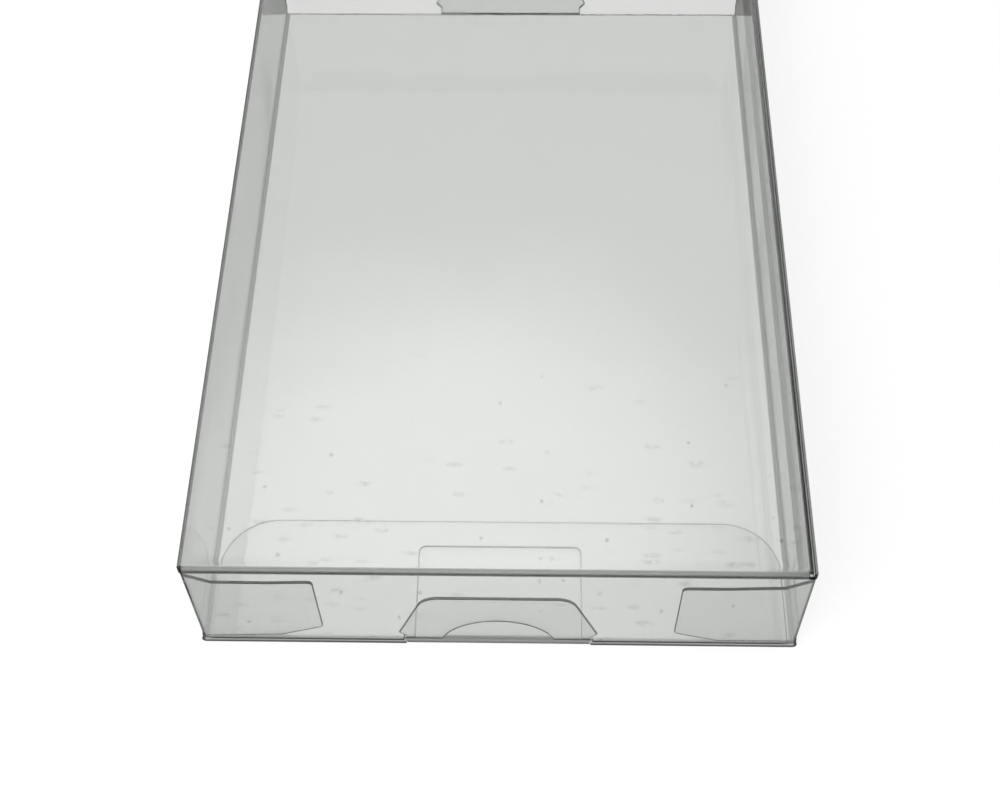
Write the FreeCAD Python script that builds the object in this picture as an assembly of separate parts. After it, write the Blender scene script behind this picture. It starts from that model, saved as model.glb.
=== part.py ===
import FreeCAD, Part
import math
import os

# Clear folded-film slip box for a cassette-size game case, lying on its bottom panel.
# +X runs across the box, +Y from the closed end to the open end, +Z up.
# The origin is the centre of the bottom panel's outer face.

V = FreeCAD.Vector
X_AXIS = V(1, 0, 0)
Y_AXIS = V(0, 1, 0)
Z_AXIS = V(0, 0, 1)

# Box and film
box_width = 73.0  # outside, over both side walls
box_depth = 18.8  # outside, from bottom panel to top panel
box_length = 112.0  # outside, from closed end to open end
sheet = 0.4  # thickness of the film
fold_inner_radius = 0.15  # inside radius of a finished fold

# Long seam inside the right wall
glue_flap_width = 8.0  # from the top fold down to the flap's free edge
glue_flap_taper = 3.0  # how far each end of the flap slants back
glue_line_width = 3.3  # height of the bonded strip
glue_line_thickness = 0.1
glue_line_margin = 0.2  # from the flap's free edge to the bonded strip
wall_edge_drop = 0.45  # from the top face down to the right wall's raw edge

# Lid and the tuck flap on it
lid_side_gap = 0.5  # from the outside of a wall to the lid's side edge
tuck_depth = 16.7  # from the lid's outer face to the tuck flap's free edge
tuck_side_gap = 1.1  # from the outside of a wall to the tuck flap's side edge
tuck_corner_radius = 7.2
tuck_gap = 0.15  # air between the bottom panel and the tuck flap
window_half_width = 10.2
window_depth = 13.0  # from the lid's outer face to the window's far edge
window_corner_radius = 0.8
thumb_radius = 7.1  # half-moon notch in the lid
thumb_height = 6.3  # from the box's outer bottom face to the top of the half-moon
slot_clearance = 0.3  # between the lock tab's foot and each end of the slot
slot_top_clearance = 0.1  # from where the lock tab stands upright to the slot's upper edge in the lid
slot_inner_clearance = 0.15  # from the locked tab's inner face to the slot's edge in the tuck flap
slot_swing_clearance = 0.9  # the same at the open end, where the flap swings past the flat tab

# Lock tab on the bottom panel
tab_foot_half_width = 11.2
tab_barb_reach = 0.9  # how far each barb stands out beyond the foot
tab_barb_height = 1.1  # from the slot's upper edge to the barb's tip
tab_top_half_width = 8.8
tab_height = 11.75
tab_corner_radius = 2.6
tab_gap = 0.1  # air between the closed lid and the tab
tab_relief = 0.1  # slit beside the tab's foot
tab_slant = 45.0  # degrees past upright at which the tab goes back through the slot

# Dust flaps on the side walls
dust_reach = 15.1  # from the wall's outer face to the free edge's upper end
dust_flare = 0.1  # how much further the free edge's lower end reaches
dust_crease_drop = 1.8  # from the top face to the upper end of the crease
dust_top_drop = 4.0  # from the top face to the flap's upper edge
dust_shoulder = 3.4  # where the steep shoulder eases off, from the wall
dust_shoulder_rise = 0.4  # height of that point above the upper edge
dust_nose = 5.2  # how far the slanted lower corner runs back from the free edge
dust_nose_rise = 2.0  # how far the slant lifts the lower corner
dust_corner_radius = 0.7
dust_floor_gap = 0.15  # air between the tuck flap and the dust flap's lower edge
dust_gap = 0.1  # air between the closed lid and a dust flap
dust_relief = 0.1  # slit above and below a dust flap's crease
left_dust_lean = 1.5  # degrees by which the closed left dust flap stands off inwards

# Open end: live creases and the angles at which the flaps stand
crease_clearance = 0.05  # between a panel's edge and the rounded root of a flap
open_end_gap = 0.3  # air between the closed lid and what stands behind it
lid_raise = 35.0  # degrees above the top panel's plane
tuck_bend = 35.0  # degrees by which the tuck flap is folded from straight
dust_splay = 20.0  # degrees by which a dust flap stands outwards from straight

# Worked out from the sizes above
half_width = box_width / 2
near = -box_length / 2
far = box_length / 2
fold_radius = fold_inner_radius + sheet
fold_middle_radius = fold_inner_radius + sheet / 2
seam_x = half_width - sheet - glue_line_thickness
glue_flap_edge = box_depth - glue_flap_width
tuck_z = sheet + tuck_gap
dust_low = tuck_z + sheet + dust_floor_gap
dust_high = box_depth - dust_crease_drop
lid_half_width = half_width - lid_side_gap
tuck_half_width = half_width - tuck_side_gap
slot_half_width = tab_foot_half_width + slot_clearance
root_gap = sheet / 2 + crease_clearance
fold_y = near + fold_radius
wall_near = near + sheet + dust_gap + fold_radius
tab_near = near + sheet + tab_gap
standing_y = far - sheet - open_end_gap - sheet / 2
wall_far = standing_y - root_gap
lid_axis = V(0, far - sheet / 2, box_depth - sheet / 2)
tuck_axis = V(0, far - sheet / 2, tuck_z + sheet / 2)
tab_axis = V(0, standing_y, sheet / 2)
margin = 1.0  # how far a cutting shape runs past what it cuts

# The locked tab's foot folds up and back, goes through the slot, and bends upright behind the lid.
slant = math.radians(tab_slant)
slant_out = Z_AXIS * math.sin(slant) - Y_AXIS * math.cos(slant)
slant_along = Z_AXIS * math.cos(slant) + Y_AXIS * math.sin(slant)
slant_start = V(0, fold_y, fold_radius) + slant_out * fold_middle_radius
upright_y = tab_near + sheet / 2 - fold_middle_radius
slant_run = (upright_y - slant_out.y * fold_middle_radius - slant_start.y) / slant_along.y
upright = slant_start + slant_along * slant_run + slant_out * fold_middle_radius
slot_rise = upright.z + slot_top_clearance
near_slot_reach = 2 * sheet + tab_gap + slot_inner_clearance
far_slot_reach = 2 * sheet + open_end_gap + slot_swing_clearance


def rounded_face(points):
    """Flat face in the local x, y plane. A point is (x, y) or (x, y, corner radius)."""
    corners = [V(p[0], p[1], 0) for p in points]
    radii = [p[2] if len(p) > 2 else 0.0 for p in points]
    starts, ends, arcs = [], [], []
    for i, corner in enumerate(corners):
        to_last = (corners[i - 1] - corner).normalize()
        to_next = (corners[(i + 1) % len(corners)] - corner).normalize()
        if radii[i] == 0:
            starts.append(corner)
            ends.append(corner)
            arcs.append(None)
            continue
        half_angle = to_last.getAngle(to_next) / 2
        run = radii[i] / math.tan(half_angle)
        inward = (to_last + to_next).normalize()
        middle = corner + inward * (radii[i] / math.sin(half_angle) - radii[i])
        starts.append(corner + to_last * run)
        ends.append(corner + to_next * run)
        arcs.append(Part.Arc(starts[i], middle, ends[i]).toShape())
    edges = []
    for i, arc in enumerate(arcs):
        if arc:
            edges.append(arc)
        following = starts[(i + 1) % len(starts)]
        if ends[i].distanceToPoint(following) > 1e-6:
            edges.append(Part.makeLine(ends[i], following))
    return Part.Face(Part.Wire(edges))


def rectangle(x0, x1, y0, y1):
    """Flat rectangle in the local x, y plane."""
    return rounded_face([(x0, y0), (x1, y0), (x1, y1), (x0, y1)])


def plate(face):
    """Sheet of film with the given outline, centred on the local x, y plane."""
    solid = face.extrude(V(0, 0, sheet))
    solid.translate(V(0, 0, -sheet / 2))
    return solid


def place(shape, origin, across, along):
    """Moves a shape so that its local x and y run along two given directions."""
    moved = shape.copy()
    turn = FreeCAD.Rotation(across, along, across.cross(along), "XYZ")
    moved.Placement = FreeCAD.Placement(origin, turn).multiply(shape.Placement)
    return moved


def bend(centre, first, last, run):
    """Finished fold between two directions about a centre line, drawn out along run."""
    middle = (first + last).normalize()
    wide = Part.Arc(*(centre + d * fold_radius for d in (first, middle, last)))
    tight = Part.Arc(*(centre + d * fold_inner_radius for d in (last, middle, first)))
    edges = [
        wide.toShape(),
        Part.makeLine(centre + last * fold_radius, centre + last * fold_inner_radius),
        tight.toShape(),
        Part.makeLine(centre + first * fold_inner_radius, centre + first * fold_radius),
    ]
    return Part.Face(Part.Wire(edges)).extrude(run)


def root(x0, x1):
    """Half-round root of a hinged flap, on the local line y = half a sheet."""
    r = sheet / 2
    arc = Part.Arc(V(x0, r, r), V(x0, 0, 0), V(x0, r, -r)).toShape()
    chord = Part.makeLine(V(x0, r, -r), V(x0, r, r))
    return Part.Face(Part.Wire([arc, chord])).extrude(V(x1 - x0, 0, 0))


def fuse(first, *others):
    """One clean solid from pieces that meet face to face."""
    return first.multiFuse(list(others)).removeSplitter().Solids[0]


# Flat outlines. Each one's y counts from the outer face that it is folded from.


def lid_outline(start, end):
    """Lid with the half-moon notch and the slot at its free edge."""
    face = rectangle(-lid_half_width, lid_half_width, start, end)
    thumb_y = box_depth - (thumb_height - thumb_radius)
    disc = Part.Face(Part.Wire(Part.makeCircle(thumb_radius, V(0, thumb_y, 0))))
    slot_top = box_depth - slot_rise
    slot = rectangle(-slot_half_width, slot_half_width, slot_top, box_depth + margin)
    return face.cut(disc).cut(slot).Faces[0]


def tuck_outline(start, slot_reach):
    """Tuck flap with its rounded corners, the window and the slot."""
    free = tuck_corner_radius
    face = rounded_face(
        [
            (-tuck_half_width, start),
            (tuck_half_width, start),
            (tuck_half_width, tuck_depth, free),
            (-tuck_half_width, tuck_depth, free),
        ]
    )
    window = rounded_face(
        [
            (-window_half_width, -margin),
            (window_half_width, -margin),
            (window_half_width, window_depth, window_corner_radius),
            (-window_half_width, window_depth, window_corner_radius),
        ]
    )
    slot = rectangle(-slot_half_width, slot_half_width, -margin, slot_reach)
    return face.cut(window).cut(slot).Faces[0]


def tab_outline(start):
    """Lock tab: barbs above the slot, a taper and two rounded corners."""
    barb = tab_foot_half_width + tab_barb_reach
    right = [
        (tab_foot_half_width, start),
        (tab_foot_half_width, slot_rise),
        (barb, slot_rise + tab_barb_height),
        (tab_top_half_width, tab_height, tab_corner_radius),
    ]
    left = [(-p[0],) + p[1:] for p in reversed(right)]
    return rounded_face(right + left)


def dust_outline(start):
    """Dust flap: local x is the height in the box, local y the reach from its wall."""
    top = box_depth - dust_top_drop
    round_ = dust_corner_radius
    return rounded_face(
        [
            (dust_low, start),
            (dust_low, dust_reach - dust_nose, round_),
            (dust_low + dust_nose_rise, dust_reach + dust_flare, round_),
            (top, dust_reach, round_),
            (top, dust_reach - dust_nose, round_),
            (top + dust_shoulder_rise, dust_shoulder, round_),
            (dust_high, start),
        ]
    )


# Sleeve: the sheet's four panels and glue flap, with the closed and locked end.


def panels():
    """Top, bottom, side walls and glue flap, from the closed lid's fold to the open end."""
    tight = fold_inner_radius
    wide = fold_radius
    section = rounded_face(
        [
            (half_width, box_depth - wall_edge_drop),
            (half_width, 0, wide),
            (-half_width, 0, wide),
            (-half_width, box_depth, wide),
            (seam_x, box_depth, wide),
            (seam_x, glue_flap_edge),
            (seam_x - sheet, glue_flap_edge),
            (seam_x - sheet, box_depth - sheet, tight),
            (-half_width + sheet, box_depth - sheet, tight),
            (-half_width + sheet, sheet, tight),
            (half_width - sheet, sheet, tight),
            (half_width - sheet, box_depth - wall_edge_drop),
        ]
    )
    tube = section.extrude(V(0, 0, wall_far - fold_y))
    tube = place(tube, V(0, wall_far, 0), X_AXIS, Z_AXIS)
    for end, inward in ((wall_near, 1), (wall_far, -1)):
        tube = tube.cut(glue_flap_slant(end, inward))
    for side in (-1, 1):
        tube = tube.cut(dust_notch(side))
    return tube


def glue_flap_slant(end, inward):
    """Wedge that slants one end of the glue flap."""
    flap_top = box_depth - fold_radius
    corners = [
        V(seam_x - sheet - margin, end - inward * margin, glue_flap_edge - margin),
        V(seam_x - sheet - margin, end + inward * glue_flap_taper, glue_flap_edge - margin),
        V(seam_x - sheet - margin, end + inward * glue_flap_taper, glue_flap_edge),
        V(seam_x - sheet - margin, end, flap_top),
        V(seam_x - sheet - margin, end - inward * margin, flap_top),
    ]
    wire = Part.makePolygon(corners + corners[:1])
    return Part.Face(wire).extrude(V(sheet + margin + glue_line_thickness / 2, 0, 0))


def dust_notch(side):
    """Cut that takes a side wall back to its dust flap's crease at the closed end."""
    low = dust_low - dust_relief
    inner = half_width - sheet - glue_line_thickness / 2
    size = (half_width + margin - inner, wall_near - fold_y + margin, dust_high + dust_relief - low)
    corner = V(inner if side > 0 else -half_width - margin, fold_y - margin, low)
    return Part.makeBox(*size, corner)


def closed_lid():
    """Closed lid, both its folds, and the tuck flap that lies on the bottom panel."""
    tuck_fold_z = tuck_z + fold_radius
    top_fold_width = seam_x + half_width - 2 * fold_radius
    top_fold = bend(
        V(-half_width + fold_radius, fold_y, box_depth - fold_radius),
        Z_AXIS,
        -Y_AXIS,
        V(top_fold_width, 0, 0),
    )
    lid = plate(lid_outline(fold_radius, box_depth - tuck_fold_z))
    lid = place(lid, V(0, near + sheet / 2, box_depth), X_AXIS, -Z_AXIS)
    tuck = plate(tuck_outline(fold_radius, near_slot_reach))
    tuck = place(tuck, V(0, near, tuck_z + sheet / 2), X_AXIS, Y_AXIS)
    low_folds = [
        bend(V(x, fold_y, tuck_fold_z), -Y_AXIS, -Z_AXIS, V(tuck_half_width - slot_half_width, 0, 0))
        for x in (-tuck_half_width, slot_half_width)
    ]
    return [top_fold, lid, tuck] + low_folds


def bottom_edge():
    """Bottom panel's edge under the closed lid, with the ends of both lower long folds."""
    edge = half_width - fold_radius
    slit = tab_foot_half_width + tab_relief
    pieces = []
    for side in (-1, 1):
        pieces.append(Part.makeBox(edge - slit, fold_radius, sheet, V(slit if side > 0 else -edge, near, 0)))
        pieces.append(bend(V(side * edge, near, fold_radius), -Z_AXIS, X_AXIS * side, V(0, fold_radius, 0)))
    return pieces


def locked_tab():
    """Lock tab that folds up from the bottom panel, through the slot, and stands behind the lid."""
    left = V(-tab_foot_half_width, 0, 0)
    across = V(2 * tab_foot_half_width, 0, 0)
    fold = bend(left + V(0, fold_y, fold_radius), -Z_AXIS, slant_out, across)
    slanted = plate(rectangle(-tab_foot_half_width, tab_foot_half_width, 0, slant_run))
    slanted = place(slanted, slant_start, X_AXIS, slant_along)
    back = bend(left + upright, -slant_out, Y_AXIS, across)
    tab = place(plate(tab_outline(upright.z)), V(0, tab_near + sheet / 2, 0), X_AXIS, Z_AXIS)
    return [fold, slanted, back, tab]


def closed_dust_flap(side, lean):
    """Dust flap folded in behind the lid. side is -1 for the left wall and 1 for the right."""
    centre = V(side * (half_width - fold_radius), wall_near, dust_low)
    outward = X_AXIS * side
    turned = FreeCAD.Rotation(Z_AXIS, -side * lean)
    fold = bend(centre, outward, turned.multVec(-Y_AXIS), V(0, 0, dust_high - dust_low))
    middle_y = wall_near - fold_radius + sheet / 2
    flap = place(plate(dust_outline(fold_radius)), V(side * half_width, middle_y, 0), Z_AXIS, -outward)
    flap.rotate(centre, Z_AXIS, -side * lean)
    return [fold, flap]


def open_end_edges():
    """Strip of the top panel that carries the hinged lid at the open end."""
    width = seam_x + half_width - 2 * fold_radius
    length = lid_axis.y - root_gap - wall_far
    origin = V(-half_width + fold_radius, wall_far, box_depth - sheet)
    return [Part.makeBox(width, length, sheet, origin)]


def sleeve():
    """Whole sheet without the open end's hinged flaps."""
    pieces = closed_lid() + bottom_edge() + locked_tab() + open_end_edges()
    pieces += closed_dust_flap(-1, left_dust_lean) + closed_dust_flap(1, 0.0)
    return fuse(panels(), *pieces)


def seam_glue():
    """Bonded strip between the glue flap and the right wall."""
    length = wall_far - wall_near - 2 * glue_flap_taper
    origin = V(seam_x, wall_near + glue_flap_taper, glue_flap_edge + glue_line_margin)
    return Part.makeBox(glue_line_thickness, length, glue_line_width, origin)


# Hinged flaps of the open end: each is made closed, then turned to where it stands.


def far_lid():
    """Lid of the open end, raised above the top panel."""
    end = box_depth - tuck_axis.z - root_gap
    flap = fuse(plate(lid_outline(sheet / 2, end)), root(-lid_half_width, lid_half_width))
    flap = place(flap, V(0, lid_axis.y, box_depth), X_AXIS, -Z_AXIS)
    flap.rotate(lid_axis, X_AXIS, 90 + lid_raise)
    return flap


def far_tuck_flap():
    """Tuck flap of the open end, part folded on the raised lid."""
    roots = [root(-tuck_half_width, -slot_half_width), root(slot_half_width, tuck_half_width)]
    flap = fuse(plate(tuck_outline(sheet / 2, far_slot_reach)), *roots)
    flap = place(flap, V(0, far, tuck_axis.z), X_AXIS, -Y_AXIS)
    flap.rotate(tuck_axis, X_AXIS, 90 - tuck_bend)
    flap.rotate(lid_axis, X_AXIS, 90 + lid_raise)
    return flap


def far_dust_flap(side):
    """Dust flap of the open end, splayed outwards from its wall."""
    axis = V(side * (half_width - sheet / 2), standing_y, 0)
    flap = fuse(plate(dust_outline(sheet / 2)), root(dust_low, dust_high))
    flap = place(flap, V(side * half_width, standing_y, 0), Z_AXIS, X_AXIS * -side)
    flap.rotate(axis, Z_AXIS, -side * (90 + dust_splay))
    return flap


def far_lock_tab():
    """Lock tab of the open end, lying flat in line with the bottom panel."""
    flap = fuse(plate(tab_outline(sheet / 2)), root(-tab_foot_half_width, tab_foot_half_width))
    flap = place(flap, V(0, standing_y, 0), X_AXIS, Z_AXIS)
    flap.rotate(tab_axis, X_AXIS, -90)
    return flap


def main():
    os.makedirs("parts", exist_ok=True)
    nodes = {
        "sleeve": sleeve(),
        "seam_glue": seam_glue(),
        "far_lid": far_lid(),
        "far_tuck_flap": far_tuck_flap(),
        "far_dust_flap_left": far_dust_flap(-1),
        "far_dust_flap_right": far_dust_flap(1),
        "far_lock_tab": far_lock_tab(),
    }
    for name, shape in nodes.items():
        shape.exportStep(f"parts/{name}.step")
        box = shape.BoundBox
        print(
            f"{name}: {shape.ShapeType}, valid {shape.isValid()}, {shape.Volume:.1f} mm3,"
            f" x {box.XMin:.2f}..{box.XMax:.2f}, y {box.YMin:.2f}..{box.YMax:.2f},"
            f" z {box.ZMin:.2f}..{box.ZMax:.2f}"
        )


if __name__ == "__main__":
    main()
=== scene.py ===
"""Looks, light and camera for a clear folded-film slip box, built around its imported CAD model.

The box lies on its bottom panel: +X runs across it, +Y from the closed end to the open end, +Z up.
Sizes of the box are in millimetres and become metres where a mesh is made. The shaders, the light and
the camera are in metres.
"""

import logging
import math
from dataclasses import dataclass, field
from enum import IntEnum
from typing import Callable

import bmesh
import bpy
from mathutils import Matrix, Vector
from mathutils.geometry import delaunay_2d_cdt


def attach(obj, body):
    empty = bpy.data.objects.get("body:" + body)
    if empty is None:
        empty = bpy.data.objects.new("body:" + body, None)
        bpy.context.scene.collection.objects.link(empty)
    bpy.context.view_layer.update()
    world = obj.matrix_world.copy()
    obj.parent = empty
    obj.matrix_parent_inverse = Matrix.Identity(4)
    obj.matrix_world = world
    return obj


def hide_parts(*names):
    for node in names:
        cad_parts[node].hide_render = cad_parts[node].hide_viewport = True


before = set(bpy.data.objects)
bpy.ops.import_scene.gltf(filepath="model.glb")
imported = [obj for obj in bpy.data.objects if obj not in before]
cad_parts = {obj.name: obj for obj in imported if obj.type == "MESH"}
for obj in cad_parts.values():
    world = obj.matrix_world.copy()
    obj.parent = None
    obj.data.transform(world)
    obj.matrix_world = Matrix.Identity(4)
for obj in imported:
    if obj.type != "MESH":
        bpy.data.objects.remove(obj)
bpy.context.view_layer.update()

LOG = logging.getLogger("slip_box")
MILLIMETRE = 0.001
QUARTER_TURN = math.pi / 2
WHITE = (1.0, 1.0, 1.0, 1.0)

# On the flat blank: how far cut edges are rounded back, and how near counts as on a line or as one point
CUT_ROUNDING = 0.12
ON_LINE = 1e-3
ONE_POINT = 1e-5

Point = tuple[float, float]
Triple = tuple[float, float, float]
Colour = tuple[float, float, float]


class Region(IntEnum):
    """Parts of a film piece that take finishes of their own, in the order of its material slots.

    What comes before FOLD is flat, and the cut edges come last.
    """

    PANEL = 0
    SMALL_FLAP = 1
    FOLD = 2
    BONDED = 3
    CUT_EDGE = 4
    LAID_EDGE = 5


# Flat outlines


def rounded(corners: list[Triple], steps: int = 8) -> list[Point]:
    """Outline whose corners are rounded.

    Args:
        corners: (x, y, corner radius) of each corner in order.
        steps: number of straight steps in each rounded corner.

    Returns:
        The points of the outline.
    """
    points: list[Point] = []
    for index, (x, y, radius) in enumerate(corners):
        corner = Vector((x, y))
        if radius == 0:
            points.append((x, y))
            continue
        to_last = (Vector(corners[index - 1][:2]) - corner).normalized()
        to_next = (Vector(corners[(index + 1) % len(corners)][:2]) - corner).normalized()
        half_angle = to_last.angle(to_next) / 2
        run = radius / math.tan(half_angle)
        centre = corner + (to_last + to_next).normalized() * (radius / math.sin(half_angle))
        first = corner + to_last * run - centre
        last = corner + to_next * run - centre
        start = math.atan2(first.y, first.x)
        turn = math.remainder(math.atan2(last.y, last.x) - start, math.tau)
        for step in range(steps + 1):
            angle = start + turn * step / steps
            points.append((centre.x + radius * math.cos(angle), centre.y + radius * math.sin(angle)))
    return points


def inside(point: Point, outline: list[Point]) -> bool:
    """Tells whether a point lies within a closed outline.

    Args:
        point: the point.
        outline: corners of the outline in order.

    Returns:
        True if it lies within.
    """
    x, y = point
    within = False
    for (x0, y0), (x1, y1) in zip(outline, outline[1:] + outline[:1]):
        if (y0 > y) != (y1 > y) and x < x0 + (y - y0) * (x1 - x0) / (y1 - y0):
            within = not within
    return within


def middle_of(points: list[Point]) -> Point:
    """Mean of some flat points."""
    return (sum(x for x, _ in points) / len(points), sum(y for _, y in points) / len(points))


@dataclass(frozen=True)
class Fold:
    """One fold of a strip of film: where along the flat strip it starts, and how far it turns inwards.

    A fold outwards has a negative turn.
    """

    start: float
    turn: float
    radius: float

    @property
    def arc(self) -> float:
        """Flat length of film that the fold takes up."""
        return abs(self.turn) * self.radius

    @property
    def signed_radius(self) -> float:
        """Radius, negative for a fold outwards."""
        return math.copysign(self.radius, self.turn)

    @property
    def end(self) -> float:
        """Flat distance at which the film is straight again."""
        return self.start + self.arc


@dataclass(frozen=True)
class FoldedStrip:
    """A strip of film seen from its edge, running forwards and turning upwards at each fold."""

    folds: tuple[Fold, ...]

    def at(self, distance: float) -> Triple:
        """Where a point of the flat strip lies once it is folded.

        Args:
            distance: flat distance from the start of the strip.

        Returns:
            How far forwards it is, how far up, and the film's heading there in radians.
        """
        forward, up, heading, done = 0.0, 0.0, 0.0, 0.0
        for fold in self.folds:
            run = min(distance, fold.start) - done
            forward += run * math.cos(heading)
            up += run * math.sin(heading)
            done += run
            if distance <= fold.start:
                return forward, up, heading
            turned = heading + min(distance - fold.start, fold.arc) / fold.signed_radius
            forward += fold.signed_radius * (math.sin(turned) - math.sin(heading))
            up += fold.signed_radius * (math.cos(heading) - math.cos(turned))
            heading = turned
            done = min(distance, fold.end)
        run = distance - done
        return forward + run * math.cos(heading), up + run * math.sin(heading), heading

    def bends(self, distance: float) -> bool:
        """True if the film is curved at that distance."""
        return any(fold.start < distance < fold.end for fold in self.folds)

    def crease_lines(self, steps: int) -> list[float]:
        """Distances at which the mesh needs a line to follow the folds smoothly."""
        return [fold.start + fold.arc * step / steps for fold in self.folds for step in range(steps + 1)]


@dataclass
class FilmBlank:
    """Flat cut of film that is folded into a closed mesh with two faces and cut edges.

    place takes a flat point, a small flat offset from it and a height above the film's middle, and gives
    the point in space. region tells the finishes of the faces apart, edge_region those of the cut edges,
    and rounding says how far a cut edge is rounded back on both faces. Two cut edges that meet with a
    sine under nearly_straight count as one line.
    """

    name: str
    thickness: float
    outlines: list[list[Point]]
    place: Callable[[Point, Point, float], Vector]
    holes: list[list[Point]] = field(default_factory=list)
    crease_lines: list[tuple[Point, Point]] = field(default_factory=list)
    region: Callable[[Point], Region] = lambda point: Region.PANEL
    edge_region: Callable[[Point], Region] = lambda point: Region.CUT_EDGE
    rounding: Callable[[Point, Point], float] = lambda first, last: CUT_ROUNDING
    grid_step: float = 4.0
    clear_of_rim: float = 4 * CUT_ROUNDING
    edge_steps: int = 4
    nearly_straight: float = 0.2

    def triangles(self) -> tuple[list[Point], list[tuple[int, ...]]]:
        """Splits the flat cut into triangles.

        Returns:
            The flat points, and the three point numbers of each triangle.
        """
        points: list[Vector] = []
        edges: list[tuple[int, int]] = []
        for loop in self.outlines + self.holes:
            first = len(points)
            points += [Vector(p) for p in loop]
            edges += [(first + i, first + (i + 1) % len(loop)) for i in range(len(loop))]
        for line in self.crease_lines:
            edges.append((len(points), len(points) + 1))
            points += [Vector(p) for p in line]
        points += [Vector(p) for p in self.grid_points()]
        verts, _, faces, *_ = delaunay_2d_cdt(points, edges, [], 0, ONE_POINT)
        flat = [(v.x, v.y) for v in verts]
        return flat, [tuple(face) for face in faces if self.holds(middle_of([flat[i] for i in face]))]

    def holds(self, point: Point) -> bool:
        """True if there is film at a flat point."""
        on_film = any(inside(point, outline) for outline in self.outlines)
        return on_film and not any(inside(point, hole) for hole in self.holes)

    def grid_points(self) -> list[Point]:
        """Points that let the panels bow gently.

        Returns:
            Flat points in staggered rows, within the flat regions and clear of their rims.
        """
        clear = self.clear_of_rim
        around = ((0.0, 0.0), (clear, 0.0), (-clear, 0.0), (0.0, clear), (0.0, -clear))
        across = [x for outline in self.outlines for x, _ in outline]
        along = [y for outline in self.outlines for _, y in outline]
        found = []
        for row in range(1, int((max(along) - min(along)) / self.grid_step)):
            for column in range(1, int((max(across) - min(across)) / self.grid_step)):
                stagger = 0.5 * (row % 2)
                x = min(across) + (column + stagger) * self.grid_step
                y = min(along) + row * self.grid_step
                near = [(x + right, y + up) for right, up in around]
                if all(self.holds(p) and self.region(p) < Region.FOLD for p in near):
                    found.append((x, y))
        return found

    def rim(self, triangles: list[tuple[int, ...]]) -> list[tuple[int, int]]:
        """Edges that have film on one side only, with the film on their left."""
        directed = {(t[i], t[(i + 1) % 3]) for t in triangles for i in range(3)}
        return [edge for edge in sorted(directed) if (edge[1], edge[0]) not in directed]

    def rim_offsets(self, flat: list[Point], rim: list[tuple[int, int]]) -> dict[int, Point]:
        """How far the cut edge stands out beyond the two faces.

        Args:
            flat: the flat points.
            rim: point numbers of the rim's edges.

        Returns:
            A flat offset for each point on the rim.
        """
        sides: dict[int, list[tuple[Vector, float]]] = {}
        for first, last in rim:
            along = (Vector(flat[last]) - Vector(flat[first])).normalized()
            side = (Vector((along.y, -along.x)), self.rounding(flat[first], flat[last]))
            sides.setdefault(first, []).append(side)
            sides.setdefault(last, []).append(side)
        offsets = {}
        for index, pairs in sides.items():
            (one, reach_one), (two, reach_two) = pairs[0], pairs[-1]
            cross = one.x * two.y - one.y * two.x
            if abs(cross) < self.nearly_straight:
                offset = (one + two).normalized() * max(reach_one, reach_two)
            else:
                x = (reach_one * two.y - reach_two * one.y) / cross
                y = (one.x * reach_two - two.x * reach_one) / cross
                offset = Vector((x, y))
            offsets[index] = (offset.x, offset.y)
        return offsets

    def build(self) -> bpy.types.Object:
        """Folds the blank into a closed mesh and links it to the scene.

        Returns:
            The new piece, whose faces carry their regions as material numbers.
        """
        flat, triangles = self.triangles()
        used = sorted({i for t in triangles for i in t})
        rim = self.rim(triangles)
        offsets = self.rim_offsets(flat, rim)
        bm = bmesh.new()

        def column(index: int, share: float) -> bmesh.types.BMVert:
            """New vertex of a flat point.

            Args:
                index: number of the flat point.
                share: 0 on the inner face, 1 on the outer face, and between them on the cut edge.

            Returns:
                The vertex.
            """
            reach = math.sin(math.pi * share) - 1.0
            offset = offsets.get(index, (0.0, 0.0))
            shift = (offset[0] * reach, offset[1] * reach)
            height = self.thickness / 2 * math.cos(math.pi * share)
            return bm.verts.new(self.place(flat[index], shift, height) * MILLIMETRE)

        levels = [{i: column(i, 0.0) for i in used}]
        for step in range(1, self.edge_steps):
            levels.append({i: column(i, step / self.edge_steps) for i in offsets})
        levels.append({i: column(i, 1.0) for i in used})
        for a, b, c in triangles:
            region = self.region(middle_of([flat[a], flat[b], flat[c]]))
            bm.faces.new([levels[0][i] for i in (a, b, c)]).material_index = region
            bm.faces.new([levels[-1][i] for i in (c, b, a)]).material_index = region
        for first, last in rim:
            region = self.edge_region(flat[first])
            for upper, lower in zip(levels, levels[1:]):
                side = bm.faces.new([upper[last], upper[first], lower[first], lower[last]])
                side.material_index = region
        for face in bm.faces:
            face.smooth = True
        for edge in bm.edges:
            on_rim = [face.material_index >= Region.CUT_EDGE for face in edge.link_faces]
            edge.smooth = on_rim[0] == on_rim[-1]
        mesh = bpy.data.meshes.new(self.name)
        bm.to_mesh(mesh)
        bm.free()
        piece = bpy.data.objects.new(self.name, mesh)
        bpy.context.scene.collection.objects.link(piece)
        return piece


# Finishes


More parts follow.
